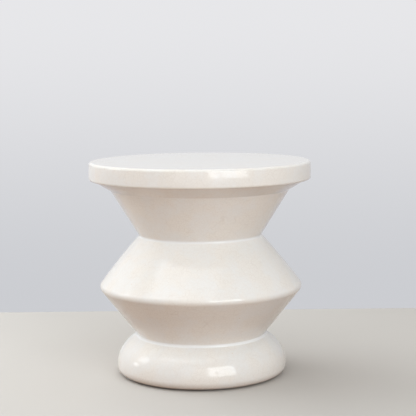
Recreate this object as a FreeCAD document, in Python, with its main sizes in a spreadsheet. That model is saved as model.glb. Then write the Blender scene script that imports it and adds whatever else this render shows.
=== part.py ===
import FreeCAD
import Part
import Sketcher
import math
import os
from collections import namedtuple

# Ceramic garden stool: five slip-cast shells luted together at their rims, on four small pads.
# The origin is on the floor, on the stool's own axis, with +Z up. Sizes are in millimetres.

SIZES = {
    "seat_radius": 210,  # outside of the round seat
    "seat_height": 406.5,  # floor to the top of the seat
    "seat_depth": 35,  # height of the seat's rim, outside
    "seat_plate": 12,  # thickness of the flat top
    "rim_wall": 14,  # thickness of the turned-down rim
    "seat_top_round": 5,  # rounding of the rim's upper edge
    "seat_under_round": 4.5,  # rounding of the rim's lower edge
    "collar_setback": 8,  # how far inside the rim's face the sloping collar starts
    "collar_width": 32.5,  # level width of the collar, in to where it turns down
    "collar_drop": 19.5,  # height of the collar
    "neck_radius": 116.5,  # narrowest place above, before its crease is filled
    "neck_height": 266,
    "ridge_radius": 195,  # widest place of the double cone, before it is rounded
    "ridge_height": 169.5,
    "ridge_round": 10.5,
    "shoulder_crown": 1.2,  # how far the shoulder swells out of a straight line
    "waist_radius": 120.5,  # narrowest place below, before its crease is filled
    "waist_height": 75,
    "foot_radius": 162,  # widest place of the domed foot
    "heel_round": 15,  # quarter round from there to the flat lip
    "foot_lip": 14,  # width of the flat lip
    "wall": 9,  # thickness of every cast wall
    "crease_round": 4,  # rounding of the creases, which slip and glaze fill
    "coil_reach": 9,  # how far a luting coil spreads up and down from its seam
    "coil_bulge": 2.5,  # how far its flat face stands out into the hollow
    "seat_coil_leg": 9,
    "pad_radius": 5.5,
    "pad_height": 2,
    "pad_edge": 0.5,
}
PAD_COUNT = 4
FIRST_PAD_ANGLE = 45  # degrees from +X

# The numbers in these are expressions of the sizes
Corner = namedtuple("Corner", "r z")  # radius from the axis and height
Blend = namedtuple("Blend", "upper tip lower")  # a rounding's two ends, and where the seam meets it
Arc = namedtuple("Arc", "given value clockwise")  # given is "radius", "centre_r" or "centre_z"

doc = FreeCAD.newDocument("garden_stool")


def make_sheet():
    sheet = doc.addObject("Spreadsheet::Sheet", "Sizes")
    for row, (name, value) in enumerate(SIZES.items(), start=1):
        sheet.set(f"A{row}", name)
        sheet.set(f"B{row}", str(value))
        sheet.setAlias(f"B{row}", name)
    doc.recompute()
    return sheet


sheet = make_sheet()


def size(name):
    return f"Sizes.{name}"


def value_of(expression):
    """Number that an expression of the sizes gives now."""
    return float(sheet.evalExpression(expression))


# Geometry of the outline, as expressions that follow the sizes

def run_length(start, end):
    return f"sqrt(({end.r} - {start.r})^2 + ({end.z} - {start.z})^2)"


def inward(upper, lower):
    """Unit normal, towards the hollow, of a wall that runs down from upper to lower."""
    length = run_length(upper, lower)
    return Corner(f"(({lower.z} - {upper.z}) / {length})", f"(({upper.r} - {lower.r}) / {length})")


def moved(corner, distance, direction):
    return Corner(f"({corner.r} + {distance} * {direction.r})", f"({corner.z} + {distance} * {direction.z})")


def inset(above, at, below, distance):
    """Corner that lies a distance inside both walls that meet at an outer corner."""
    first, second = inward(above, at), inward(at, below)
    spread = f"(1 + {first.r} * {second.r} + {first.z} * {second.z})"
    both = Corner(f"({first.r} + {second.r})", f"({first.z} + {second.z})")
    return moved(at, f"{distance} / {spread}", both)


def level_wall(upper, lower):
    """Wall thickness measured level, across the slope between two corners."""
    return f"({size('wall')} * {run_length(upper, lower)} / ({upper.z} - {lower.z}))"


def inside_at(upper, lower, height):
    """Point at a height on the inner face of a straight wall."""
    share = f"(({height} - {lower.z}) / ({upper.z} - {lower.z}))"
    return Corner(f"({lower.r} + ({upper.r} - {lower.r}) * {share} - {level_wall(upper, lower)})", height)


def outer_blend(above, at, below, radius):
    """Rounding of a ridge. Its widest point is level with its centre."""
    centre = inset(above, at, below, radius)
    return Blend(
        moved(centre, f"-{radius}", inward(above, at)),
        Corner(f"({centre.r} + {radius})", centre.z),
        moved(centre, f"-{radius}", inward(at, below)),
    )


def crease_blend(above, at, below, radius):
    """Filling of a crease between two straight walls. Its centre is outside, level with the tip."""
    centre = inset(above, at, below, f"(-{radius})")
    return Blend(
        moved(centre, radius, inward(above, at)),
        Corner(f"({centre.r} - {radius})", centre.z),
        moved(centre, radius, inward(at, below)),
    )


def dome_blend(above, at, widest, radius):
    """Filling of a crease between a straight wall and a dome that starts at the crease."""
    rise, reach = f"({at.z} - {widest.z})", f"({widest.r} - {at.r})"
    dome_radius = f"(({reach}^2 + {rise}^2) / (2 * {reach}))"
    dome_centre = Corner(f"({widest.r} - {dome_radius})", widest.z)
    normal = inward(above, at)
    start = moved(at, f"-{radius}", normal)
    across = Corner(f"({start.r} - {dome_centre.r})", f"({start.z} - {dome_centre.z})")
    along = f"({across.z} * -{normal.r} + {across.r} * {normal.z})"
    climb = f"(sqrt({along}^2 - {across.r}^2 - {across.z}^2 + ({dome_radius} + {radius})^2) - {along})"
    centre = moved(start, climb, Corner(normal.z, f"(-{normal.r})"))
    share = f"({dome_radius} / ({dome_radius} + {radius}))"
    return Blend(
        moved(centre, radius, normal),
        Corner(f"({centre.r} - {radius})", centre.z),
        Corner(
            f"({dome_centre.r} + ({centre.r} - {dome_centre.r}) * {share})",
            f"({dome_centre.z} + ({centre.z} - {dome_centre.z}) * {share})",
        ),
    )


def bow_radius(start, end, rise):
    """Radius of an arc that swells by rise out of the straight run between two corners."""
    return f"(({run_length(start, end)}^2 / 4 + ({rise})^2) / (2 * ({rise})))"


# Drawing and turning

def origin_plane(body, role):
    return next(item for item in body.Origin.OriginFeatures if item.Role == role)


def arc_shape(start, end, arc):
    """Arc between two points, which are numbers, for the value that is given."""
    middle = ((start[0] + end[0]) / 2, (start[1] + end[1]) / 2)
    half = math.dist(start, end) / 2
    along = ((end[0] - start[0]) / (2 * half), (end[1] - start[1]) / (2 * half))
    across = (along[1], -along[0]) if arc.clockwise else (-along[1], along[0])
    given = value_of(arc.value)
    if arc.given == "radius":
        offset = math.sqrt(max(given**2 - half**2, 0))
    elif arc.given == "centre_z":
        offset = (given - middle[1]) / across[1]
    else:
        offset = (given - middle[0]) / across[0]
    centre = (middle[0] + across[0] * offset, middle[1] + across[1] * offset)
    first, last = (math.atan2(p[1] - centre[1], p[0] - centre[0]) for p in (start, end))
    if arc.clockwise:
        first, last = last, first
    up = FreeCAD.Vector(0, 0, 1)
    circle = Part.Circle(FreeCAD.Vector(*centre, 0), up, math.dist(start, centre))
    return Part.ArcOfCircle(circle, first, last)


def bind(sketch, kind, name, expression, *where):
    """Adds a dimension to a sketch, names it and ties it to the sizes."""
    number = sketch.addConstraint(Sketcher.Constraint(kind, *where, value_of(expression)))
    sketch.renameConstraint(number, name)
    sketch.setExpression(f"Constraints.{name}", expression)


def draw_outline(sketch, corners, arcs):
    """Closed outline through the corners. arcs gives the Arc that leaves a corner, by its number."""
    start_point, end_point, centre_point, origin = 1, 2, 3, -1
    places = [(value_of(corner.r), value_of(corner.z)) for corner in corners]
    starts, ends = [], []
    for number, start in enumerate(places):
        end = places[(number + 1) % len(places)]
        if number in arcs:
            run = sketch.addGeometry(arc_shape(start, end, arcs[number]))
        else:
            run = sketch.addGeometry(Part.LineSegment(FreeCAD.Vector(*start, 0), FreeCAD.Vector(*end, 0)))
        backwards = number in arcs and arcs[number].clockwise
        starts.append((run, end_point if backwards else start_point))
        ends.append((run, start_point if backwards else end_point))
    for number, corner in enumerate(corners):
        sketch.addConstraint(Sketcher.Constraint("Coincident", *ends[number - 1], *starts[number]))
        bind(sketch, "DistanceX", f"radius_{number}", corner.r, origin, start_point, *starts[number])
        bind(sketch, "DistanceY", f"height_{number}", corner.z, origin, start_point, *starts[number])
    for number, arc in arcs.items():
        run = starts[number][0]
        if arc.given == "radius":
            bind(sketch, "Radius", f"arc_{number}", arc.value, run)
        else:
            kind = "DistanceY" if arc.given == "centre_z" else "DistanceX"
            bind(sketch, kind, f"arc_{number}", arc.value, origin, start_point, run, centre_point)


def turned(label, corners, arcs=None):
    """Body turned about the stool's axis from a closed outline."""
    body = doc.addObject("PartDesign::Body", label)
    body.Label = label
    sketch = body.newObject("Sketcher::SketchObject", f"{label}_outline")
    sketch.AttachmentSupport = [(origin_plane(body, "XZ_Plane"), "")]
    sketch.MapMode = "FlatFace"
    draw_outline(sketch, corners, arcs or {})
    turn = body.newObject("PartDesign::Revolution", f"{label}_turn")
    turn.Profile = sketch
    turn.ReferenceAxis = (sketch, ["V_Axis"])
    turn.Angle = 360
    doc.recompute()
    return body


def round_edge(body, name, corner, radius):
    """Rounds the circular edge that a corner of the outline made."""
    tolerance = 0.01
    base = body.Tip
    r, z = value_of(corner.r), value_of(corner.z)
    edges = [
        f"Edge{number}"
        for number, edge in enumerate(base.Shape.Edges, start=1)
        if isinstance(edge.Curve, Part.Circle)
        and abs(edge.Curve.Radius - r) < tolerance
        and abs(edge.Curve.Center.z - z) < tolerance
    ]
    fillet = body.newObject("PartDesign::Fillet", f"{body.Label}_{name}")
    fillet.Base = (base, edges)
    fillet.setExpression("Radius", radius)
    doc.recompute()


# Corners that neighbouring pieces share

SEAT_UNDER = f"({size('seat_height')} - {size('seat_depth')})"
RIM_INSIDE = f"({size('seat_radius')} - {size('rim_wall')})"
COLLAR = Corner(f"({size('seat_radius')} - {size('collar_setback')})", SEAT_UNDER)
CONE_TOP = Corner(f"({COLLAR.r} - {size('collar_width')})", f"({SEAT_UNDER} - {size('collar_drop')})")
NECK = Corner(size("neck_radius"), size("neck_height"))
RIDGE = Corner(size("ridge_radius"), size("ridge_height"))
WAIST = Corner(size("waist_radius"), size("waist_height"))
FOOT = Corner(size("foot_radius"), f"({size('pad_height')} + {size('heel_round')})")
HEEL = Corner(f"({size('foot_radius')} - {size('heel_round')})", size("pad_height"))

NECK_BLEND = crease_blend(CONE_TOP, NECK, RIDGE, size("crease_round"))
RIDGE_BLEND = outer_blend(NECK, RIDGE, WAIST, size("ridge_round"))
WAIST_BLEND = dome_blend(RIDGE, WAIST, FOOT, size("crease_round"))

# Each seam is a flat ring, level with the tip of its rounding
CONE_TOP_INSIDE = inset(COLLAR, CONE_TOP, NECK, size("wall"))
NECK_INSIDE = Corner(inset(CONE_TOP, NECK, RIDGE, size("wall")).r, NECK_BLEND.tip.z)
RIDGE_INSIDE = Corner(inset(NECK, RIDGE, WAIST, size("wall")).r, RIDGE_BLEND.tip.z)
WAIST_INSIDE = inside_at(RIDGE, WAIST, WAIST_BLEND.tip.z)
DOME_INSIDE = inside_at(RIDGE, WAIST, f"({WAIST.z} - {size('wall')})")

CREASE_ARC = Arc("radius", size("crease_round"), False)
RIDGE_ARC = Arc("radius", size("ridge_round"), True)


def make_seat_cap():
    """Flat round top with a turned-down rim, cast like a shallow pan."""
    plate_under = f"({size('seat_height')} - {size('seat_plate')})"
    top_edge = Corner(size("seat_radius"), size("seat_height"))
    low_edge = Corner(size("seat_radius"), SEAT_UNDER)
    body = turned("seat_cap", [
        Corner("0", size("seat_height")),
        top_edge,
        low_edge,
        Corner(RIM_INSIDE, SEAT_UNDER),
        Corner(RIM_INSIDE, plate_under),
        Corner("0", plate_under),
    ])
    round_edge(body, "top_round", top_edge, size("seat_top_round"))
    round_edge(body, "under_round", low_edge, size("seat_under_round"))


def make_upper_cone():
    """Sloping collar under the rim, and the cone that narrows from it to the neck."""
    body = turned("upper_cone", [
        COLLAR,
        CONE_TOP,
        NECK_BLEND.upper,
        NECK_BLEND.tip,
        NECK_INSIDE,
        CONE_TOP_INSIDE,
        inside_at(COLLAR, CONE_TOP, SEAT_UNDER),
    ], {2: CREASE_ARC})
    round_edge(body, "crease", CONE_TOP, size("crease_round"))


def make_shoulder_cone():
    """Upper half of the double cone, from the neck out to the ridge, slightly crowned."""
    crown = bow_radius(NECK_BLEND.lower, RIDGE_BLEND.upper, size("shoulder_crown"))
    turned("shoulder_cone", [
        NECK_BLEND.tip,
        NECK_BLEND.lower,
        RIDGE_BLEND.upper,
        RIDGE_BLEND.tip,
        RIDGE_INSIDE,
        NECK_INSIDE,
    ], {0: CREASE_ARC, 1: Arc("radius", crown, True), 2: RIDGE_ARC})


def make_belly_cone():
    """Lower half of the double cone, from the ridge in to the waist."""
    turned("belly_cone", [
        RIDGE_BLEND.tip,
        RIDGE_BLEND.lower,
        WAIST_BLEND.upper,
        WAIST_BLEND.tip,
        WAIST_INSIDE,
        RIDGE_INSIDE,
    ], {0: RIDGE_ARC, 2: CREASE_ARC})


def make_foot_ring():
    """Domed foot with a quarter-round heel and a lip turned in to stand on."""
    lip_inside = f"({HEEL.r} - {size('foot_lip')})"
    lip_top = f"({HEEL.z} + {size('wall')})"
    level_with_foot = Arc("centre_z", FOOT.z, True)
    level_inside = Arc("centre_z", FOOT.z, False)
    turned("foot_ring", [
        WAIST_BLEND.tip,
        WAIST_BLEND.lower,
        FOOT,
        HEEL,
        Corner(lip_inside, HEEL.z),
        Corner(lip_inside, lip_top),
        Corner(HEEL.r, lip_top),
        Corner(f"({FOOT.r} - {size('wall')})", FOOT.z),
        DOME_INSIDE,
        WAIST_INSIDE,
    ], {0: CREASE_ARC, 1: level_with_foot, 2: level_with_foot, 6: level_inside, 7: level_inside})


# Luting coils: soft clay pressed over each seam from inside, before firing

def make_seat_coil():
    """Coil in the corner between the collar's flat top and the inside of the rim."""
    leg = size("seat_coil_leg")
    coil_edge = f"({RIM_INSIDE} - {leg})"
    turned("seat_luting_coil", [
        Corner(RIM_INSIDE, SEAT_UNDER),
        Corner(RIM_INSIDE, f"({SEAT_UNDER} + {leg})"),
        Corner(coil_edge, SEAT_UNDER),
    ], {1: Arc("centre_r", coil_edge, True)})


def make_seam_coil(label, above, seam, below):
    """Coil over a seam, pressed flat: it reaches up and down the inner face, which may turn there."""
    reach = size("coil_reach")
    upper_slope = f"(({above.r} - {seam.r}) / ({above.z} - {seam.z}))"
    lower_slope = f"(({seam.r} - {below.r}) / ({seam.z} - {below.z}))"
    stand = f"({size('coil_bulge')} + max(0; {reach} * ({upper_slope} - {lower_slope}) / 4))"
    turned(label, [
        Corner(f"({seam.r} + {reach} * {upper_slope})", f"({seam.z} + {reach})"),
        seam,
        Corner(f"({seam.r} - {reach} * {lower_slope})", f"({seam.z} - {reach})"),
        Corner(f"({seam.r} - {reach} / 2 * {lower_slope} - {stand})", f"({seam.z} - {reach} / 2)"),
        Corner(f"({seam.r} + {reach} / 2 * {upper_slope} - {stand})", f"({seam.z} + {reach} / 2)"),
    ])


def make_pads():
    """Small clear bumpers stuck under the foot's lip."""
    circle_radius = f"({HEEL.r} - {size('foot_lip')} / 2)"
    for number in range(PAD_COUNT):
        label = f"foot_pad_{number + 1}"
        angle = FIRST_PAD_ANGLE + 360 * number / PAD_COUNT
        body = doc.addObject("PartDesign::Body", label)
        body.Label = label
        disc = body.newObject("PartDesign::AdditiveCylinder", f"{label}_disc")
        disc.setExpression("Radius", size("pad_radius"))
        disc.setExpression("Height", size("pad_height"))
        doc.recompute()
        edges = disc.Shape.Edges
        lowest = min(range(len(edges)), key=lambda place: edges[place].BoundBox.ZMax)
        chamfer = body.newObject("PartDesign::Chamfer", f"{label}_edge")
        chamfer.Base = (disc, [f"Edge{lowest + 1}"])
        chamfer.setExpression("Size", size("pad_edge"))
        body.setExpression("Placement.Base.x", f"{circle_radius} * cos({angle})")
        body.setExpression("Placement.Base.y", f"{circle_radius} * sin({angle})")


def check_document():
    for item in doc.Objects:
        if any(word in item.State for word in ("Invalid", "Error")):
            raise RuntimeError(f"{item.Label} did not build: {item.State}")
    for body in bodies():
        if body.Shape.isNull() or not body.Shape.isValid() or len(body.Shape.Solids) != 1:
            raise RuntimeError(f"{body.Label} has no single valid solid")


def bodies():
    return [item for item in doc.Objects if item.TypeId == "PartDesign::Body"]


def write_parts():
    os.makedirs("parts", exist_ok=True)
    for body in bodies():
        body.Shape.exportStep(f"parts/{body.Label}.step")
        print(f"{body.Label}: {body.Shape.Volume / 1000:.1f} cm3")


make_seat_cap()
make_upper_cone()
make_shoulder_cone()
make_belly_cone()
make_foot_ring()
make_seat_coil()
make_seam_coil("neck_luting_coil", CONE_TOP_INSIDE, NECK_INSIDE, RIDGE_INSIDE)
make_seam_coil("ridge_luting_coil", NECK_INSIDE, RIDGE_INSIDE, WAIST_INSIDE)
make_seam_coil("waist_luting_coil", RIDGE_INSIDE, WAIST_INSIDE, DOME_INSIDE)
make_pads()
doc.recompute()
check_document()
write_parts()
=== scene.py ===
import math

import bpy
import numpy as np
from mathutils import Matrix, Vector, noise


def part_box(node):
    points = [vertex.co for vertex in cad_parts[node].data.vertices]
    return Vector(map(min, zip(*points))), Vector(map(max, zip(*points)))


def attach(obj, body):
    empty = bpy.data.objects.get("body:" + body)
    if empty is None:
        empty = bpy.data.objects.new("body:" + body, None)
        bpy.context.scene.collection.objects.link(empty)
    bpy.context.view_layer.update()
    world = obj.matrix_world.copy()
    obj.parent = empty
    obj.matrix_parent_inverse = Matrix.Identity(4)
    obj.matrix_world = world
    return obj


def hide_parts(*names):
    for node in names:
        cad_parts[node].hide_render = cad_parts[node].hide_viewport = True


# Dressed look of a ceramic garden stool: crackled cream glaze outside, bare clay inside.
# Metres, +Z up, origin on the floor on the stool's axis.

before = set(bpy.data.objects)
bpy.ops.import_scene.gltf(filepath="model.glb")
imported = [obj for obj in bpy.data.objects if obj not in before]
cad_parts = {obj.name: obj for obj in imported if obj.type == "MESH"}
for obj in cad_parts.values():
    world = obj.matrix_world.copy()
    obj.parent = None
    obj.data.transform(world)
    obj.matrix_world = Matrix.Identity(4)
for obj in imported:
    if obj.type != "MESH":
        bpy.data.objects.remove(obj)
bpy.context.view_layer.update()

MM = 0.001
LEVEL = 0.0  # elevation of a normal that points straight out
SAME_PLACE = 1e-6

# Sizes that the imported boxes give
seat_low, seat_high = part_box("seat_cap")
cone_low, cone_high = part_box("upper_cone")
shoulder_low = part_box("shoulder_cone")[0]
foot_low, foot_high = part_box("foot_ring")
SEAT_R, SEAT_TOP, SEAT_UNDER = seat_high.x, seat_high.z, seat_low.z
COLLAR_R, NECK_SEAM = cone_high.x, cone_low.z
RIDGE_SEAM, WAIST_SEAM = shoulder_low.z, foot_high.z
FOOT_R, LIP_Z = foot_high.x, foot_low.z

# Sizes that the boxes can't give
TOP_ROUND = 5 * MM
UNDER_ROUND = 4.5 * MM
SEAT_CREASE = 1.2 * MM
COLLAR_WIDTH = 32.5 * MM
COLLAR_DROP = 19.5 * MM
NECK = Vector((116.5, 266)) * MM
RIDGE = Vector((195, 169.5)) * MM
WAIST = Vector((120.5, 75)) * MM
RIDGE_ROUND = 10.5 * MM
CREASE_ROUND = 4 * MM
HEEL_ROUND = 15 * MM
LIP_WIDTH = 14 * MM
WALL = 9 * MM
PLATE = 12 * MM
RIM_WALL = 14 * MM
SHOULDER_CROWN = 1.2 * MM
RIM_EASE_START = 12 * MM  # height above the rim's lower edge at which its side starts to lean in
RIM_EASE_TILT = math.radians(4)
EASED_SIDE = SEAT_TOP - TOP_ROUND - SEAT_UNDER - RIM_EASE_START
COLLAR_EDGE = Vector((COLLAR_R, SEAT_UNDER))
CONE_TOP = Vector((COLLAR_R - COLLAR_WIDTH, SEAT_UNDER - COLLAR_DROP))

# Meshes
SEGMENTS = 192
OUTER_STEP = 4.5 * MM
INNER_STEP = 8 * MM
TURN_STEP = math.radians(4.5)
TOP_EDGE_STEP = math.radians(3.6)
UNDER_EDGE_STEP = math.radians(6)
DOME_STEP = math.radians(3)
HEEL_STEP = math.radians(5)
HEEL_INSIDE_PARTS = 5
DOME_INSIDE_PARTS = 14
SHELL_SHARP = math.radians(40)
TRIM_SHARP = math.radians(50)
WAVE = 0.4 * MM  # depth of the slow hand-made unevenness, always inwards
WAVE_SIZE = 140 * MM
RIPPLE = 0.03 * MM
RIPPLE_SIZE = 26 * MM
CAST_SWELL = 0.8 * MM
CAST_SWELL_SIZE = 50 * MM

# Glaze: how full it pools in each crease, where its colour is also whitened as a painted highlight, how
# quickly the pools fade, and where it ends
COLLAR_POOL_AND_HIGHLIGHT = 0.35
CONE_POOL_AND_HIGHLIGHT = 0.3
FULL_POOL_AND_HIGHLIGHT = 1.0
POOL_AND_HIGHLIGHT_FADE = 1.2 * MM
GLAZE_END = math.radians(-72)  # elevation of the normal under the foot
GLAZED, BARE = 0, 1  # material slots of a shell


# Outline of the glazed outside, from the middle of the seat down to the lip

class Ring:
    """One level ring of the outline. Elevation is that of its outward normal."""

    def __init__(self, point, elevation, pool=0.0):
        self.point = point
        self.elevation = elevation
        self.pool = pool


def normal_at(elevation):
    """Outward normal of this elevation, in the plane of the outline."""
    return Vector((math.cos(elevation), math.sin(elevation)))


def elevation_of(start, end):
    """Elevation of the outward normal of a wall that runs down from start to end."""
    along = end - start
    return math.atan2(along.x, -along.y)


def straight(start, end, step=OUTER_STEP):
    """Rings from start up to, and without, end."""
    count = max(1, round((end - start).length / step))
    elevation = elevation_of(start, end)
    return [Ring(start.lerp(end, i / count), elevation) for i in range(count)]


def turn(centre, radius, first, last, step=TURN_STEP, pool=0.0):
    """Rings round an arc, both ends included. A negative radius is a hollow arc."""
    parts = [(first, last)]
    if first * last < 0:
        parts = [(first, LEVEL), (LEVEL, last)]
    rings = []
    for begin, end in parts:
        count = max(2, math.ceil(abs(end - begin) / step))
        for i in range(count + 1):
            elevation = begin + (end - begin) * i / count
            if rings and i == 0:
                continue
            depth = pool * math.sin(math.pi * (elevation - first) / (last - first))
            rings.append(Ring(centre + radius * normal_at(elevation), elevation, depth))
    return rings


def corner_turn(corner, first, last, radius, pool=0.0, step=TURN_STEP):
    """Rings that round a corner between two walls whose normals have these elevations."""
    signed = radius if last < first else -radius
    before, after = normal_at(first), normal_at(last)
    centre = corner - signed * (before + after) / (1 + before.dot(after))
    return turn(centre, signed, first, last, step, pool)


def dome_circle():
    """Centre and radius of the foot's dome, which starts at the waist and is upright at its widest."""
    widest = Vector((FOOT_R, LIP_Z + HEEL_ROUND))
    reach, rise = widest.x - WAIST.x, WAIST.y - widest.y
    radius = (reach**2 + rise**2) / (2 * reach)
    return Vector((widest.x - radius, widest.y)), radius


def waist_turn(belly):
    """Rings of the filled crease between the belly and the dome, and the dome's first elevation."""
    dome_centre, dome_radius = dome_circle()
    normal = normal_at(belly)
    climb = Vector((-normal.y, normal.x))
    start = WAIST + CREASE_ROUND * normal
    across = start - dome_centre
    along = across.dot(climb)
    square = (dome_radius + CREASE_ROUND) ** 2 - across.length_squared + along**2
    centre = start + climb * (math.sqrt(square) - along)
    out = centre - dome_centre
    last = math.atan2(out.y, out.x)
    return turn(centre, -CREASE_ROUND, belly, last, pool=FULL_POOL_AND_HIGHLIGHT), last


def crowned(rings, depth):
    """Swells a straight run of rings outwards by depth at its middle."""
    for i, ring in enumerate(rings):
        share = i / len(rings)
        ring.point = ring.point + 4 * depth * share * (1 - share) * normal_at(ring.elevation)
    return rings


def join(rings, more):
    """Adds rings after a straight run to the first of them."""
    return rings + straight(rings[-1].point, more[0].point)[1:] + more


def eased_rim(rings):
    """Leans the rings of the rim's upright side and top edge in, along a slow arc."""
    eased = []
    for ring in rings:
        rise = ring.point.y - SEAT_UNDER - RIM_EASE_START
        flat = ring.point.x < SEAT_R - TOP_ROUND - SAME_PLACE
        if ring.elevation < LEVEL or rise <= 0 or flat:
            eased.append(ring)
            continue
        on_side = min(rise, EASED_SIDE)
        tilt = RIM_EASE_TILT * on_side / EASED_SIDE
        depth = tilt * (on_side / 2 + rise - on_side)
        eased.append(Ring(ring.point - Vector((depth, 0)), max(ring.elevation, tilt), ring.pool))
    return eased


def outline():
    """All rings, and the number of the ring at which each shell ends."""
    seat_edge = Vector((SEAT_R, SEAT_TOP))
    under_edge = Vector((SEAT_R, SEAT_UNDER))
    collar = elevation_of(COLLAR_EDGE, CONE_TOP)
    cone = elevation_of(CONE_TOP, NECK)
    shoulder = elevation_of(NECK, RIDGE)
    belly = elevation_of(RIDGE, WAIST)
    up, down = math.pi / 2, -math.pi / 2
    rings = [Ring(Vector((0, SEAT_TOP)), up)]
    rings = join(rings, corner_turn(seat_edge, up, LEVEL, TOP_ROUND, step=TOP_EDGE_STEP))
    rings = join(rings, corner_turn(under_edge, LEVEL, down, UNDER_ROUND, step=UNDER_EDGE_STEP))
    rings = eased_rim(rings)
    ends = {"seat_cap": len(rings)}
    rings += corner_turn(COLLAR_EDGE, down, collar, SEAT_CREASE, COLLAR_POOL_AND_HIGHLIGHT)
    rings = join(rings, corner_turn(CONE_TOP, collar, cone, CREASE_ROUND, CONE_POOL_AND_HIGHLIGHT))
    neck = corner_turn(NECK, cone, shoulder, CREASE_ROUND, FULL_POOL_AND_HIGHLIGHT)
    ridge = corner_turn(RIDGE, shoulder, belly, RIDGE_ROUND)
    rings = join(rings, neck)
    ends["upper_cone"] = level_ring(rings, len(rings) - len(neck))
    slope = straight(neck[-1].point, ridge[0].point)[1:]
    rings += crowned(slope, SHOULDER_CROWN)
    rings += ridge
    ends["shoulder_cone"] = level_ring(rings, len(rings) - len(ridge))
    waist, dome_first = waist_turn(belly)
    rings = join(rings, waist)
    ends["belly_cone"] = level_ring(rings, len(rings) - len(waist))
    dome_centre, dome_radius = dome_circle()
    rings += turn(dome_centre, dome_radius, dome_first, LEVEL, DOME_STEP)[1:]
    heel_centre = Vector((FOOT_R - HEEL_ROUND, LIP_Z + HEEL_ROUND))
    rings += turn(heel_centre, HEEL_ROUND, LEVEL, down, HEEL_STEP)[1:]
    return rings, ends


def level_ring(rings, start):
    """Number of the first ring from start on whose normal is level."""
    return next(i for i in range(start, len(rings)) if abs(rings[i].elevation) < SAME_PLACE)


def glaze_edge(rings, start):
    """Number of the first ring from start on that lies past the edge of the glaze."""
    return next(i for i in range(start, len(rings)) if rings[i].elevation < GLAZE_END)


def unevenness(x, y, z):
    """Depth of the hand-made unevenness at a place, in metres. It never stands out."""
    slow = noise.noise(Vector((x, y, z)) / WAVE_SIZE)
    quick = noise.noise(Vector((x, y, z + 1)) / RIPPLE_SIZE)
    return -WAVE * (0.5 + 0.5 * slow) + RIPPLE * quick


def swept(rings):
    """Places of the outline's rings swept round the axis, as an array of rings by segments."""
    angles = np.arange(SEGMENTS) * 2 * math.pi / SEGMENTS
    places = np.zeros((len(rings), SEGMENTS, 3))
    for i, ring in enumerate(rings):
        normal = normal_at(ring.elevation)
        for j, angle in enumerate(angles):
            cos, sin = math.cos(angle), math.sin(angle)
            depth = unevenness(ring.point.x * cos, ring.point.x * sin, ring.point.y)
            radius = ring.point.x + depth * normal.x if ring.point.x > 0 else 0.0
            places[i, j] = (radius * cos, radius * sin, ring.point.y + depth * normal.y)
    places[0] = places[0].mean(axis=0)
    return places


def smooth_normals(places):
    """Normals of the swept surface, so that neighbouring shells shade as one glaze."""
    down = np.gradient(places, axis=0)
    around = np.roll(places, -1, axis=1) - np.roll(places, 1, axis=1)
    normals = np.cross(down, around)
    normals[0] = (0, 0, 1)
    length = np.linalg.norm(normals, axis=2, keepdims=True)
    return normals / np.maximum(length, 1e-12)


# Inner faces of the shells, from the lower seam to the upper one

def inset(above, at, below):
    """Point a wall's thickness inside the corner at which two straight walls meet."""
    before = normal_at(elevation_of(above, at))
    after = normal_at(elevation_of(at, below))
    return at - WALL * (before + after) / (1 + before.dot(after))


def inside_at(upper, lower, height):
    """Point at a height on the inner face of a straight wall."""
    on_wall = lower.lerp(upper, (height - lower.y) / (upper.y - lower.y))
    return on_wall - Vector((WALL / math.cos(elevation_of(upper, lower)), 0))


def inner_faces():
    """Corners of each shell's inner face, from its lower seam up."""
    rim_inside = SEAT_R - RIM_WALL
    plate_under = SEAT_TOP - PLATE
    neck_inside = Vector((inset(CONE_TOP, NECK, RIDGE).x, NECK_SEAM))
    ridge_inside = Vector((inset(NECK, RIDGE, WAIST).x, RIDGE_SEAM))
    waist_inside = inside_at(RIDGE, WAIST, WAIST_SEAM)
    dome_inside = inside_at(RIDGE, WAIST, WAIST.y - WALL)
    heel = FOOT_R - HEEL_ROUND
    lip_inside = heel - LIP_WIDTH
    lip_top = LIP_Z + WALL
    widest = Vector((FOOT_R - WALL, LIP_Z + HEEL_ROUND))
    heel_centre = Vector((heel, widest.y))
    heel_inside = arc_points(Vector((heel, lip_top)), widest, heel_centre, HEEL_INSIDE_PARTS)
    return {
        "seat_cap": [
            Vector((rim_inside, SEAT_UNDER)),
            Vector((rim_inside, plate_under)),
            Vector((0, plate_under)),
        ],
        "upper_cone": [
            neck_inside,
            inset(COLLAR_EDGE, CONE_TOP, NECK),
            inside_at(COLLAR_EDGE, CONE_TOP, SEAT_UNDER),
        ],
        "shoulder_cone": [ridge_inside, neck_inside],
        "belly_cone": [waist_inside, ridge_inside],
        "foot_ring": [
            Vector((lip_inside, LIP_Z)),
            Vector((lip_inside, lip_top)),
            *heel_inside,
            *dome_inside_points(widest, dome_inside),
            waist_inside,
        ],
    }


def arc_points(start, end, centre, count):
    """Points on an arc from start to end about a centre, both ends included."""
    first = math.atan2(start.y - centre.y, start.x - centre.x)
    last = math.atan2(end.y - centre.y, end.x - centre.x)
    radius = (start - centre).length
    angles = [first + (last - first) * i / count for i in range(count + 1)]
    return [centre + radius * normal_at(angle) for angle in angles]


def dome_inside_points(widest, top):
    """Points up the inside of the dome, after its widest place."""
    reach, rise = widest.x - top.x, top.y - widest.y
    radius = (reach**2 + rise**2) / (2 * reach)
    centre = Vector((widest.x - radius, widest.y))
    return arc_points(widest, top, centre, DOME_INSIDE_PARTS)[1:]


def divided(corners, step=INNER_STEP):
    """Points along straight runs between corners, both ends included."""
    points = []
    for start, end in zip(corners, corners[1:]):
        count = max(1, round((end - start).length / step))
        points += [start.lerp(end, i / count) for i in range(count)]
    return points + [corners[-1]]


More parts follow.
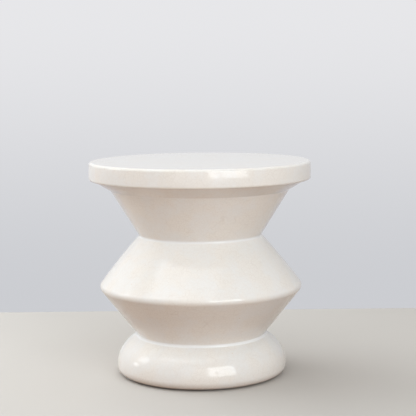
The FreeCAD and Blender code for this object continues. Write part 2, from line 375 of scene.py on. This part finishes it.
def cast_inside(points):
    """Inner face swept round the axis, softly uneven as a cast wall is. Its ends stay true."""
    angles = np.arange(SEGMENTS) * 2 * math.pi / SEGMENTS
    places = np.zeros((len(points), SEGMENTS, 3))
    for i, point in enumerate(points):
        free = 0 < i < len(points) - 1
        for j, angle in enumerate(angles):
            place = Vector((point.x * math.cos(angle), point.x * math.sin(angle), point.y))
            swell = CAST_SWELL * noise.noise(place / CAST_SWELL_SIZE) if free else 0.0
            radius = max(point.x + swell, 0) if point.x > 0 else 0.0
            places[i, j] = (radius * math.cos(angle), radius * math.sin(angle), point.y)
    return places


# Mesh of one shell: glazed outside, seams, bare inside

def smooth_mesh(name, vertices, faces, sharp):
    """Mesh that shades smoothly, apart from edges above the sharp angle."""
    mesh = bpy.data.meshes.new(name)
    mesh.from_pydata([tuple(vertex) for vertex in vertices], [], faces)
    mesh.validate()
    mesh.polygons.foreach_set("use_smooth", [True] * len(mesh.polygons))
    mesh.set_sharp_from_angle(angle=sharp)
    return mesh


def numbered(rows):
    """Vertices of the rows, and each place's number. A row on the axis is one vertex."""
    numbers = np.zeros((len(rows), SEGMENTS), dtype=int)
    vertices = []
    for i, row in enumerate(rows):
        if np.ptp(row, axis=0).max() < SAME_PLACE:
            numbers[i] = len(vertices)
            vertices.append(row[0])
        else:
            numbers[i] = np.arange(SEGMENTS) + len(vertices)
            vertices.extend(row)
    return vertices, numbers


def bands_of(numbers):
    """Pairs of neighbouring rows. The last meets the first, unless one of them is a single vertex."""
    bands = [(i, i + 1) for i in range(len(numbers) - 1)]
    if np.ptp(numbers[0]) > 0 and np.ptp(numbers[-1]) > 0:
        bands.append((len(numbers) - 1, 0))
    return bands


def shell_mesh(name, outer, outer_normals, pools_and_highlights, inner, glaze_rings):
    """Closed shell. The first glaze_rings bands of the outer face are glazed, the rest is bare."""
    vertices, numbers = numbered(np.concatenate([outer, inner]))
    faces, slots, normals = [], [], []
    for band, (upper, lower) in enumerate(bands_of(numbers)):
        outside = band < len(outer) - 1
        for j in range(SEGMENTS):
            k = (j + 1) % SEGMENTS
            corners = {}
            for cell in ((upper, j), (lower, j), (lower, k), (upper, k)):
                corners.setdefault(int(numbers[cell]), cell)
            faces.append(list(corners))
            slots.append(GLAZED if band < glaze_rings else BARE)
            for cell in corners.values():
                normals.append(tuple(outer_normals[cell]) if outside else (0, 0, 0))
    mesh = smooth_mesh(name, vertices, faces, SHELL_SHARP)
    mesh.polygons.foreach_set("material_index", slots)
    mesh.normals_split_custom_set(normals)
    depths = np.zeros(len(vertices))
    for row, depth in zip(numbers, pools_and_highlights):
        depths[row] = depth
    # the pool depth also sets the painted highlight in the creases
    mesh.attributes.new("pool", "FLOAT", "POINT").data.foreach_set("value", depths)
    return mesh


def pooled_with_highlight(rings):
    """How thick the glaze has pooled at each ring, which also whitens it there as a painted highlight:
    full in a crease, fading away beside it.
    """
    full = [ring for ring in rings if ring.pool > 0]
    depths = []
    for ring in rings:
        near = [(other.pool, (ring.point - other.point).length / POOL_AND_HIGHLIGHT_FADE) for other in full]
        depths.append(max(pool * math.exp(-(away**2)) for pool, away in near))
    return depths


def add_object(name, mesh, materials):
    piece = bpy.data.objects.new(name, mesh)
    bpy.context.scene.collection.objects.link(piece)
    for material in materials:
        mesh.materials.append(material)
    return piece


def add_piece(name, mesh, materials, node):
    """Piece of the stool that stands in for a node of the solids."""
    piece = add_object(name, mesh, materials)
    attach(piece, "root")
    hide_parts(node)


def make_shells(glaze, clay):
    rings, ends = outline()
    places = swept(rings)
    normals = smooth_normals(places)
    pools_and_highlights = pooled_with_highlight(rings)
    glaze_end = glaze_edge(rings, ends["belly_cone"] + 1)
    first = 0
    for node, corners in inner_faces().items():
        last = ends.get(node, len(rings) - 1)
        part = slice(first, last + 1)
        inside = cast_inside(divided(corners))
        bands = min(last, glaze_end) - first
        name = f"{node}_shell"
        mesh = shell_mesh(name, places[part], normals[part], pools_and_highlights[part], inside, bands)
        add_piece(name, mesh, [glaze, clay], node)
        first = last


# Luting coils and pads

class Coil:
    """A luting coil: where its ends lie on the walls, and the place that its face passes."""

    def __init__(self, upper, face, lower, back):
        self.upper = upper
        self.face = face
        self.lower = lower
        self.back = back


COIL_REACH = 9 * MM  # how far a coil reaches up and down the walls from its seam
COIL_STAND = 2.5 * MM  # how far it stands out from them
SEAT_COIL_LEG = 9 * MM  # how far the seat's coil reaches out of its corner
COIL_ROWS = 10
COIL_ROUNDNESS = 0.42  # how far the seat's coil fills its corner, as a share of its leg
COIL_SINK = WALL / 3  # how far a coil's hidden back lies in the wall
BACK_SHARE = 0.7  # how far a coil's hidden corners lie on the way to its back
PRESS_PITCH = 21 * MM  # from one finger mark to the next
PRESS_DRIFT = 2.4  # how far the marks stray from an even pitch, in radians
UNPRESSED = 1.05  # how far the coil stands out between the marks, as a share
PRESSED = 0.3  # how much of that a mark takes away
THINNED = 0.15  # how much of that slow thinning takes away
DRIFT_TURNS = 2.5  # how quickly pitch and thickness change round the coil
SMEAR = 1.5 * MM  # how far the clay is dragged past its edges, or falls short of them
SMEAR_TURNS = 9
SMEAR_BELOW = 0.7  # share of the upper smear
COIL_GRAIN = 0.25 * MM
COIL_GRAIN_SIZE = 6 * MM
HEIGHT_SHIFT = 9  # gives each coil its own noise
SMEAR_SHIFT = Vector((3, 1, 2))  # keeps the smears from following the drift


def seam_coil(above, seam, below):
    """Coil pressed flat over a seam between two inner walls."""
    upper = seam + (above - seam).normalized() * COIL_REACH
    lower = seam + (below - seam).normalized() * COIL_REACH
    stand = max(COIL_STAND, COIL_STAND + seam.x - (upper.x + lower.x) / 2)
    return Coil(upper, seam - Vector((stand, 0)), lower, seam + Vector((COIL_SINK, 0)))


def coils():
    """The luting coil of each seam."""
    inner = inner_faces()
    rim = Vector((SEAT_R - RIM_WALL, SEAT_UNDER))
    leg = SEAT_COIL_LEG
    neck = inner["upper_cone"][0]
    ridge = inner["belly_cone"][1]
    waist = inner["belly_cone"][0]
    face = rim + Vector((-leg, leg)) * COIL_ROUNDNESS
    back = rim + Vector((COIL_SINK, -COIL_SINK))
    seat = Coil(rim + Vector((0, leg)), face, rim - Vector((leg, 0)), back)
    return {
        "seat_luting_coil": seat,
        "neck_luting_coil": seam_coil(inner["upper_cone"][1], neck, ridge),
        "ridge_luting_coil": seam_coil(neck, ridge, waist),
        "waist_luting_coil": seam_coil(ridge, waist, inner["foot_ring"][-2]),
    }


def around_axis(point, angle):
    """Place of an outline point that is turned about the axis."""
    return Vector((point.x * math.cos(angle), point.x * math.sin(angle), point.y))


def coil_section(coil, angle):
    """Outline of the smeared coil at this angle: its face from top to bottom, then its back."""
    around = Vector((math.cos(angle), math.sin(angle), coil.face.y * HEIGHT_SHIFT))
    marks = round(2 * math.pi * coil.face.x / PRESS_PITCH)
    drift = noise.noise(around * DRIFT_TURNS)
    dent = 0.5 + 0.5 * math.cos(marks * angle + PRESS_DRIFT * drift)
    middle = (coil.upper + coil.lower) / 2
    stand = (coil.face - middle) * (UNPRESSED - PRESSED * dent - THINNED * drift)
    smear = SMEAR * noise.noise(around * SMEAR_TURNS + SMEAR_SHIFT)
    climb = (coil.upper - coil.lower).normalized()
    upper = coil.upper + climb * smear
    lower = coil.lower - climb * smear * SMEAR_BELOW
    control = middle + 2 * stand
    section = []
    for i in range(COIL_ROWS):
        t = i / (COIL_ROWS - 1)
        point = upper * (1 - t) ** 2 + control * 2 * t * (1 - t) + lower * t**2
        grain = COIL_GRAIN * noise.noise(around_axis(point, angle) / COIL_GRAIN_SIZE)
        section.append(point - Vector((grain * math.sin(math.pi * t), 0)))
    return section + [lower.lerp(coil.back, BACK_SHARE), upper.lerp(coil.back, BACK_SHARE)]


def coil_mesh(name, coil):
    """Ring of clay smeared over its seam by hand, with a dent for each finger mark."""
    vertices = []
    for angle in np.arange(SEGMENTS) * 2 * math.pi / SEGMENTS:
        vertices += [around_axis(point, angle) for point in coil_section(coil, angle)]
    rows = len(vertices) // SEGMENTS
    faces = []
    for j in range(SEGMENTS):
        k = (j + 1) % SEGMENTS
        for i in range(rows):
            n = (i + 1) % rows
            faces.append((j * rows + i, k * rows + i, k * rows + n, j * rows + n))
    return smooth_mesh(name, vertices, faces, TRIM_SHARP)


def make_coils(clay):
    for node, coil in coils().items():
        name = f"{node}_smeared"
        add_piece(name, coil_mesh(name, coil), [clay], node)


PAD_SIDES = 40
PAD_SOFT = 0.45  # rounding of the lower edge, as a share of the height
PAD_TOP_EDGE = 0.8  # height at which the top edge is cut, as a share
PAD_TOP_INSET = 0.1
PAD_HOLLOW = (0.08, 0.05)  # how far the underside is raised, in its middle and part of the way out
PAD_HOLLOW_OUT = 0.45
PAD_EDGE_PARTS = 5


def pad_profile(radius, height):
    """Outline of a soft bumper from the middle of its underside to the middle of its top."""
    soft = PAD_SOFT * height
    centre = Vector((radius - soft, soft))
    middle, part_way = [raised * height for raised in PAD_HOLLOW]
    under = [Vector((0, middle)), Vector((radius * PAD_HOLLOW_OUT, part_way))]
    edge = arc_points(Vector((radius - soft, 0)), Vector((radius, soft)), centre, PAD_EDGE_PARTS)
    side = Vector((radius, PAD_TOP_EDGE * height))
    top = Vector((radius - PAD_TOP_INSET * height, height))
    return under + edge + [side, top, Vector((0, height))]


def pad_mesh(name, centre, profile):
    middle = Vector((centre.x, centre.y, 0))
    vertices = [middle + Vector((0, 0, profile[0].y))]
    for point in profile[1:-1]:
        for j in range(PAD_SIDES):
            vertices.append(middle + around_axis(point, j * 2 * math.pi / PAD_SIDES))
    vertices.append(middle + Vector((0, 0, profile[-1].y)))
    last = len(vertices) - 1
    faces = []
    for j in range(PAD_SIDES):
        k = (j + 1) % PAD_SIDES
        faces.append((0, 1 + k, 1 + j))
        for i in range(len(profile) - 3):
            row = 1 + i * PAD_SIDES
            above = row + PAD_SIDES
            faces.append((row + j, row + k, above + k, above + j))
        row = last - PAD_SIDES
        faces.append((row + j, row + k, last))
    return smooth_mesh(name, vertices, faces, TRIM_SHARP)


def make_pads(rubber):
    for number in (1, 2, 3, 4):
        node = f"foot_pad_{number}"
        low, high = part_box(node)
        profile = pad_profile((high.x - low.x) / 2, high.z - low.z)
        name = f"{node}_bumper"
        mesh = pad_mesh(name, (low + high) / 2, profile)
        add_piece(name, mesh, [rubber], node)


# Materials

class Graph:
    """Shader nodes of one material, with a short way to add them."""

    def __init__(self, name):
        self.material = bpy.data.materials.new(name)
        self.material.use_nodes = True
        self.tree = self.material.node_tree
        self.shader = self.tree.nodes["Principled BSDF"]
        self.output = self.tree.nodes["Material Output"]
        self.place = self.add("ShaderNodeTexCoord").outputs["Object"]

    def put(self, socket, value):
        if isinstance(value, bpy.types.NodeSocket):
            self.tree.links.new(value, socket)
        else:
            socket.default_value = value

    def add(self, kind, settings=None, inputs=None):
        node = self.tree.nodes.new(kind)
        for name, value in (settings or {}).items():
            setattr(node, name, value)
        for name, value in (inputs or {}).items():
            self.put(node.inputs[name], value)
        return node

    def noise(self, size, detail=2.0, place=None):
        """Noise whose features are about this large, in metres."""
        inputs = {"Vector": place or self.place, "Scale": 1 / size, "Detail": detail}
        return self.add("ShaderNodeTexNoise", inputs=inputs).outputs["Fac"]

    def ranged(self, value, low, high, to_low=0.0, to_high=1.0):
        """The value, eased from the range low to high into the range to_low to to_high."""
        inputs = {"Value": value, "From Min": low, "From Max": high}
        inputs.update({"To Min": to_low, "To Max": to_high})
        return self.add("ShaderNodeMapRange", {"interpolation_type": "SMOOTHSTEP"}, inputs).outputs[0]

    def maths(self, operation, first, second):
        node = self.add("ShaderNodeMath", {"operation": operation})
        self.put(node.inputs[0], first)
        self.put(node.inputs[1], second)
        return node.outputs[0]

    def mixed(self, factor, first, second):
        node = self.add("ShaderNodeMix", {"data_type": "RGBA"})
        self.put(node.inputs["Factor"], factor)
        self.put(node.inputs["A"], first)
        self.put(node.inputs["B"], second)
        return node.outputs["Result"]

    def warped(self, size, depth):
        """The place, pushed about by noise so that cell edges bend."""
        inputs = {"Vector": self.place, "Scale": 1 / size, "Detail": 1.0}
        shift = self.add("ShaderNodeTexNoise", inputs=inputs)
        centred = self.add("ShaderNodeVectorMath", {"operation": "SUBTRACT"})
        self.put(centred.inputs[0], shift.outputs["Color"])
        centred.inputs[1].default_value = (0.5, 0.5, 0.5)
        scaled = self.add("ShaderNodeVectorMath", {"operation": "SCALE"}, {"Scale": depth})
        self.put(scaled.inputs[0], centred.outputs[0])
        total = self.add("ShaderNodeVectorMath", {"operation": "ADD"})
        self.put(total.inputs[0], self.place)
        self.put(total.inputs[1], scaled.outputs[0])
        return total.outputs[0]

    def cells(self, size):
        """Distance to the nearest of points scattered about this far apart, and a colour of its own."""
        inputs = {"Vector": self.place, "Scale": 1 / size}
        return self.add("ShaderNodeTexVoronoi", inputs=inputs).outputs

    def cracks(self, cell, width, place):
        """1 on the edges of cells of this size, fading to 0 over the width. Metres."""
        inputs = {"Vector": place, "Scale": 1 / cell}
        cells = self.add("ShaderNodeTexVoronoi", {"feature": "DISTANCE_TO_EDGE"}, inputs)
        return self.ranged(cells.outputs["Distance"], 0.0, width / cell, 1.0, 0.0)

    def set_shader(self, name, value):
        self.put(self.shader.inputs[name], value)

    def bump(self, height, depth, normal=None):
        """Bump of a 0 to 1 height, this deep in metres."""
        inputs = {"Height": height, "Strength": 1.0, "Distance": depth}
        if normal:
            inputs["Normal"] = normal
        return self.add("ShaderNodeBump", inputs=inputs).outputs["Normal"]


# Cream glaze
WARM_CREAM = (0.880, 0.845, 0.797, 1)
COOL_CREAM = (0.867, 0.855, 0.833, 1)
# whiter colour of the creases: partly pooled glaze, partly a painted highlight
POOLED_GLAZE_AND_HIGHLIGHT = (0.92, 0.92, 0.92, 1)
CRAZE_STAIN = (0.56, 0.49, 0.43, 1)
SPECK = (0.72, 0.52, 0.33, 1)
BLOTCH = (0.85, 0.805, 0.76, 1)
FINE_CELL = 5.2 * MM  # size of the cells between the fine craze lines
FINE_LINE = 0.42 * MM
FINE_BEND = 7 * MM
FINE_BEND_DEPTH = 2.2 * MM
COARSE_CELL = 15 * MM
COARSE_LINE = 0.5 * MM
COARSE_BEND = 20 * MM
COARSE_BEND_DEPTH = 7 * MM
CRAZE_TINT = 0.14
CRAZE_DEPTH = 0.012 * MM
MOTTLE = 45 * MM
BLOTCH_SIZE = 6 * MM
BLOTCH_TINT = 0.35
SPECK_PITCH = 30 * MM
SPECK_TINT = 0.5
POOL_AND_HIGHLIGHT_TINT = 0.92
GLAZE_ROUGH = (0.03, 0.06)
GLAZE_ROUGH_SIZE = 28 * MM
GLAZE_IOR = 1.55
PEEL = 9 * MM
PEEL_DEPTH = 0.03 * MM


def crazed(graph):
    """Fine and coarse craze lines, 1 on a line and 0 beside it."""
    fine_place = graph.warped(FINE_BEND, FINE_BEND_DEPTH)
    coarse_place = graph.warped(COARSE_BEND, COARSE_BEND_DEPTH)
    fine = graph.cracks(FINE_CELL, FINE_LINE, fine_place)
    return fine, graph.cracks(COARSE_CELL, COARSE_LINE, coarse_place)


def glaze_material():
    """Glossy cream glaze with two sizes of craze lines, warm mottling, and whiter creases that are
    partly pooled glaze and partly a painted highlight.
    """
    graph = Graph("cream_glaze")
    fine, coarse = crazed(graph)
    mottle = graph.ranged(graph.noise(MOTTLE, 4.0), 0.38, 0.62)
    body = graph.mixed(mottle, COOL_CREAM, WARM_CREAM)
    blotch = graph.ranged(graph.noise(BLOTCH_SIZE, 3.0), 0.35, 0.7, 0.0, BLOTCH_TINT)
    body = graph.mixed(blotch, body, BLOTCH)
    patches = graph.ranged(graph.noise(MOTTLE, 2.0), 0.35, 0.65, 0.45, 1.0)
    stained = graph.maths("MULTIPLY", graph.maths("ADD", fine, coarse), CRAZE_TINT)
    body = graph.mixed(graph.maths("MULTIPLY", stained, patches), body, CRAZE_STAIN)

    spots = graph.cells(SPECK_PITCH)
    rare = graph.ranged(spots["Color"], 0.62, 0.68)
    spot = graph.ranged(spots["Distance"], 0.02, 0.055, SPECK_TINT, 0.0)
    body = graph.mixed(graph.maths("MULTIPLY", spot, rare), body, SPECK)

    pool = graph.add("ShaderNodeAttribute", {"attribute_name": "pool"}).outputs["Fac"]
    # creases painted whiter: partly pooled glaze, partly a painted highlight
    body = graph.mixed(graph.ranged(pool, 0.05, 0.75, 0.0, POOL_AND_HIGHLIGHT_TINT), body, POOLED_GLAZE_AND_HIGHLIGHT)
    graph.set_shader("Base Color", body)
    worn = graph.noise(GLAZE_ROUGH_SIZE, 3.0)
    graph.set_shader("Roughness", graph.ranged(worn, 0.3, 0.7, *GLAZE_ROUGH))
    graph.set_shader("IOR", GLAZE_IOR)
    peel = graph.bump(graph.noise(PEEL, 2.0), PEEL_DEPTH)
    lines = graph.maths("SUBTRACT", 1.0, graph.maths("MAXIMUM", fine, coarse))
    graph.set_shader("Normal", graph.bump(lines, CRAZE_DEPTH, peel))
    return graph.material


# Bare clay
CLAY_DARK = (0.60, 0.515, 0.40, 1)
CLAY_LIGHT = (0.70, 0.62, 0.505, 1)
CLAY_GRAIN = (0.47, 0.39, 0.29, 1)
CLAY_PORE_SHADE = (0.24, 0.18, 0.13, 1)
CLAY_TONE_SIZE = 60 * MM
GRAIN_SIZE = 1.4 * MM
GRAIN_TINT = 0.35
GRAIN_DEPTH = 0.12 * MM
PORE_PITCH = 7 * MM
PORE_SHADE_TINT = 0.6
PORE_DEPTH = 0.3 * MM
SPONGE_SIZE = 30 * MM
SPONGE_DEPTH = 0.8 * MM
SPONGE_STRETCH = (1, 1, 6)  # the marks run round the stool
CLAY_ROUGH = (0.78, 0.92)


def clay_material():
    """Matt biscuit clay with grain, pores with painted shade in them, and the smears of a sponge."""
    graph = Graph("bare_clay")
    tone = graph.ranged(graph.noise(CLAY_TONE_SIZE, 4.0), 0.3, 0.7)
    body = graph.mixed(tone, CLAY_DARK, CLAY_LIGHT)
    grain = graph.ranged(graph.noise(GRAIN_SIZE, 3.0), 0.3, 0.7)
    body = graph.mixed(graph.maths("MULTIPLY", grain, GRAIN_TINT), body, CLAY_GRAIN)
    pore = graph.ranged(graph.cells(PORE_PITCH)["Distance"], 0.04, 0.09, 1.0, 0.0)
    # the pores are painted dark as shade in the pits
    body = graph.mixed(graph.maths("MULTIPLY", pore, PORE_SHADE_TINT), body, CLAY_PORE_SHADE)
    graph.set_shader("Base Color", body)
    graph.set_shader("Roughness", graph.ranged(grain, 0.0, 1.0, *CLAY_ROUGH))
    marks = {"Vector": graph.place, "Scale": SPONGE_STRETCH}
    wiped = graph.add("ShaderNodeMapping", inputs=marks).outputs[0]
    smear = graph.bump(graph.noise(SPONGE_SIZE, 3.0, wiped), SPONGE_DEPTH)
    grainy = graph.bump(graph.noise(GRAIN_SIZE, 3.0), GRAIN_DEPTH, smear)
    pitted = graph.bump(graph.maths("SUBTRACT", 1.0, pore), PORE_DEPTH, grainy)
    graph.set_shader("Normal", pitted)
    return graph.material


# Clear bumpers
RUBBER_CLEAR = (0.80, 0.80, 0.76, 1)
RUBBER_CLOUDY = (0.66, 0.66, 0.61, 1)
RUBBER_HAZE = 3 * MM
RUBBER_ROUGH = (0.22, 0.42)
RUBBER_IOR = 1.45
RUBBER_CLEARNESS = 0.6
SCUFF = 0.8 * MM
SCUFF_DEPTH = 0.02 * MM


def rubber_material():
    """Clear soft bumper, slightly cloudy, with a scuffed surface."""
    graph = Graph("clear_bumper")
    haze = graph.ranged(graph.noise(RUBBER_HAZE, 3.0), 0.3, 0.7)
    graph.set_shader("Base Color", graph.mixed(haze, RUBBER_CLEAR, RUBBER_CLOUDY))
    graph.set_shader("Roughness", graph.ranged(haze, 0.0, 1.0, *RUBBER_ROUGH))
    graph.set_shader("Transmission Weight", RUBBER_CLEARNESS)
    graph.set_shader("IOR", RUBBER_IOR)
    graph.set_shader("Normal", graph.bump(graph.noise(SCUFF, 2.0), SCUFF_DEPTH))
    return graph.material


# Stage

FLOOR_EDGE = 0.575  # how far behind the stool's axis the floor meets the backdrop
STAGE_HALF = 3.2
FLOOR_SIDES = 96
FLOOR_ROUGH = 0.9
BACKDROP_HIGH = 3.0
GRADIENT_HIGH = 0.75  # height at which the backdrop reaches its upper tone
FLOOR_SHOWN = (0.60, 0.575, 0.545, 1)
FLOOR_BOUNCE = (0.29, 0.17, 0.10, 1)  # what the floor throws back on matt colour
BACKDROP_LOW = (0.60, 0.61, 0.64, 1)
BACKDROP_SHOWN = (0.80, 0.80, 0.82, 1)
SKY_LIGHT = (0.41, 0.40, 0.385, 1)
DAYLIGHT = (0.90, 0.97, 1)
LAMPLIGHT = (1, 1, 1)

# Camera, as fitted to the photograph
CAMERA_FOCAL_PX = 1202
FRAME_PX = 416
SENSOR_MM = 36
CAMERA_DISTANCE = 2.2667
CAMERA_HEIGHT = 0.5826
CAMERA_PITCH = 0.1174  # in radians, as are yaw and roll
CAMERA_YAW = 0.0066
CAMERA_ROLL = -0.0094


def seen_directly(graph):
    """1 where a ray from the camera, a reflection or a clear piece arrives, and 0 for the rest."""
    path = graph.add("ShaderNodeLightPath").outputs
    seen = graph.maths("MAXIMUM", path["Is Camera Ray"], path["Is Glossy Ray"])
    return graph.maths("MAXIMUM", seen, path["Is Transmission Ray"])


class WorldGraph(Graph):
    """Nodes of the world."""

    def __init__(self, world):
        world.use_nodes = True
        self.tree = world.node_tree
        self.background = self.tree.nodes["Background"]


def floor_material():
    """Plain matt floor. What it throws back on the stool's matt colour is a tone of its own."""
    graph = Graph("floor")
    body = graph.mixed(seen_directly(graph), FLOOR_BOUNCE, FLOOR_SHOWN)
    graph.set_shader("Base Color", body)
    graph.set_shader("Roughness", FLOOR_ROUGH)
    return graph.material


def backdrop_material():
    """Plain glowing colour, painted darker lower down as shade, that shows from the stool's side only
    and lets light through.
    """
    graph = Graph("backdrop")
    front = graph.maths("SUBTRACT", 1.0, graph.add("ShaderNodeNewGeometry").outputs["Backfacing"])
    height = graph.add("ShaderNodeSeparateXYZ", inputs={"Vector": graph.place}).outputs["Z"]
    # painted shade: the backdrop glows darker towards the floor
    tone = graph.mixed(graph.ranged(height, 0.0, GRADIENT_HIGH), BACKDROP_LOW, BACKDROP_SHOWN)
    shown = graph.add("ShaderNodeEmission", inputs={"Color": tone}).outputs[0]
    clear = graph.add("ShaderNodeBsdfTransparent").outputs[0]
    mix = graph.add("ShaderNodeMixShader")
    graph.put(mix.inputs[0], graph.maths("MULTIPLY", seen_directly(graph), front))
    graph.put(mix.inputs[1], clear)
    graph.put(mix.inputs[2], shown)
    graph.put(graph.output.inputs["Surface"], mix.outputs[0])
    return graph.material


def add_plane(name, corners, material):
    mesh = bpy.data.meshes.new(name)
    mesh.from_pydata(corners, [], [range(len(corners))])
    add_object(name, mesh, [material])


def make_stage():
    """A round floor, and a backdrop that stands across it behind the stool."""
    angles = [2 * math.pi * i / FLOOR_SIDES for i in range(FLOOR_SIDES)]
    disc = [(STAGE_HALF * math.cos(angle), STAGE_HALF * math.sin(angle), 0) for angle in angles]
    add_plane("floor", disc, floor_material())
    foot = [(side, FLOOR_EDGE, 0) for side in (-STAGE_HALF, STAGE_HALF)]
    top = [(side, FLOOR_EDGE, BACKDROP_HIGH) for side in (STAGE_HALF, -STAGE_HALF)]
    add_plane("backdrop", foot + top, backdrop_material())


def area_light(name, place, facing, size, radiance, colour=LAMPLIGHT):
    """Soft rectangular light that faces this way. It isn't seen itself, but shows in the glaze."""
    width, height = size
    data = bpy.data.lights.new(name, "AREA")
    data.shape = "RECTANGLE"
    data.size = width
    data.size_y = height
    data.energy = math.pi * width * height * radiance
    data.color = colour
    light = bpy.data.objects.new(name, data)
    light.location = place
    light.rotation_euler = Vector(facing).to_track_quat("-Z", "Y").to_euler()
    light.visible_camera = False
    bpy.context.scene.collection.objects.link(light)
    return light


def upright_light(name, facing, sides, heights, distance, radiance, colour=DAYLIGHT):
    """Light between two sides and two heights, in an upright plane that faces the stool from this
    direction. Facing and sides are degrees round the stool from the camera's side, to the right."""
    left, right = [distance * math.tan(math.radians(side - facing)) for side in sides]
    low, high = heights
    angle = math.radians(facing)
    out = Vector((math.sin(angle), -math.cos(angle), 0))
    along = Vector((math.cos(angle), math.sin(angle), 0))
    place = out * distance + along * (left + right) / 2 + Vector((0, 0, (low + high) / 2))
    return area_light(name, place, -out, (right - left, high - low), radiance, colour)


def make_world():
    """Even soft light from all round. Where the world itself shows, it is plain and pale."""
    world = bpy.data.worlds.new("studio")
    bpy.context.scene.world = world
    graph = WorldGraph(world)
    colour = graph.mixed(seen_directly(graph), SKY_LIGHT, BACKDROP_LOW)
    graph.put(graph.background.inputs["Color"], colour)


def make_overhead_lights():
    area_light("overhead", (-0.3, -0.4, 2.4), (0.1, 0.15, -1), size=(2.4, 2.4), radiance=0.80)
    area_light("left_overhead", (-1.3, -0.9, 2.1), (1.3, 0.9, -1.9), size=(1.6, 1.6), radiance=0.5)
    area_light("back_overhead", (-1.2, 1.6, 2.1), (1.2, -1.6, -1.9), size=(2.6, 2.2), radiance=1.15)


def make_left_lights():
    curtain = upright_light(
        "left_curtain", -110, sides=(-142, -78), heights=(0.22, 2.0), distance=2.4, radiance=1.7
    )
    curtain.visible_glossy = False  # from the right, the seat would mirror it as plain white
    upright_light(
        "left_window", -112, sides=(-136, -86), heights=(0.95, 1.85), distance=2.35, radiance=2.3
    )
    upright_light(
        "left_low_pane", -112, sides=(-130, -94), heights=(0.40, 0.72), distance=2.35, radiance=3.2
    )


def make_front_lights():
    pane_heights = (0.3, 2.05)
    upright_light(
        "window_narrow_pane", 28, sides=(8.5, 19), heights=pane_heights, distance=2.6, radiance=4.0
    )
    upright_light(
        "window_wide_pane", 28, sides=(21, 46), heights=pane_heights, distance=2.6, radiance=3.8
    )
    upright_light(
        "front_fill", 0, sides=(-27, 27), heights=(0.0, 3.0), distance=4.0, radiance=0.62,
        colour=LAMPLIGHT,
    )


def make_camera():
    """Camera at the photograph's angle, from its distance, height, pitch, yaw and roll."""
    level_share = math.cos(CAMERA_PITCH)
    forward = Vector((
        math.sin(CAMERA_YAW) * level_share,
        math.cos(CAMERA_YAW) * level_share,
        -math.sin(CAMERA_PITCH),
    ))
    level = Vector((math.cos(CAMERA_YAW), -math.sin(CAMERA_YAW), 0))
    above = level.cross(forward)
    right = level * math.cos(CAMERA_ROLL) + above * math.sin(CAMERA_ROLL)
    up = above * math.cos(CAMERA_ROLL) - level * math.sin(CAMERA_ROLL)
    data = bpy.data.cameras.new("camera")
    data.sensor_width = SENSOR_MM
    data.lens = CAMERA_FOCAL_PX / FRAME_PX * SENSOR_MM
    camera = bpy.data.objects.new("camera", data)
    turned = Matrix((right, up, -forward)).transposed().to_4x4()
    camera.matrix_world = Matrix.Translation((0, -CAMERA_DISTANCE, CAMERA_HEIGHT)) @ turned
    bpy.context.scene.collection.objects.link(camera)
    bpy.context.scene.camera = camera


bpy.context.scene.view_settings.view_transform = "Standard"
clay = clay_material()
make_camera()
make_stage()
make_world()
make_overhead_lights()
make_left_lights()
make_front_lights()
make_shells(glaze_material(), clay)
make_coils(clay)
make_pads(rubber_material())
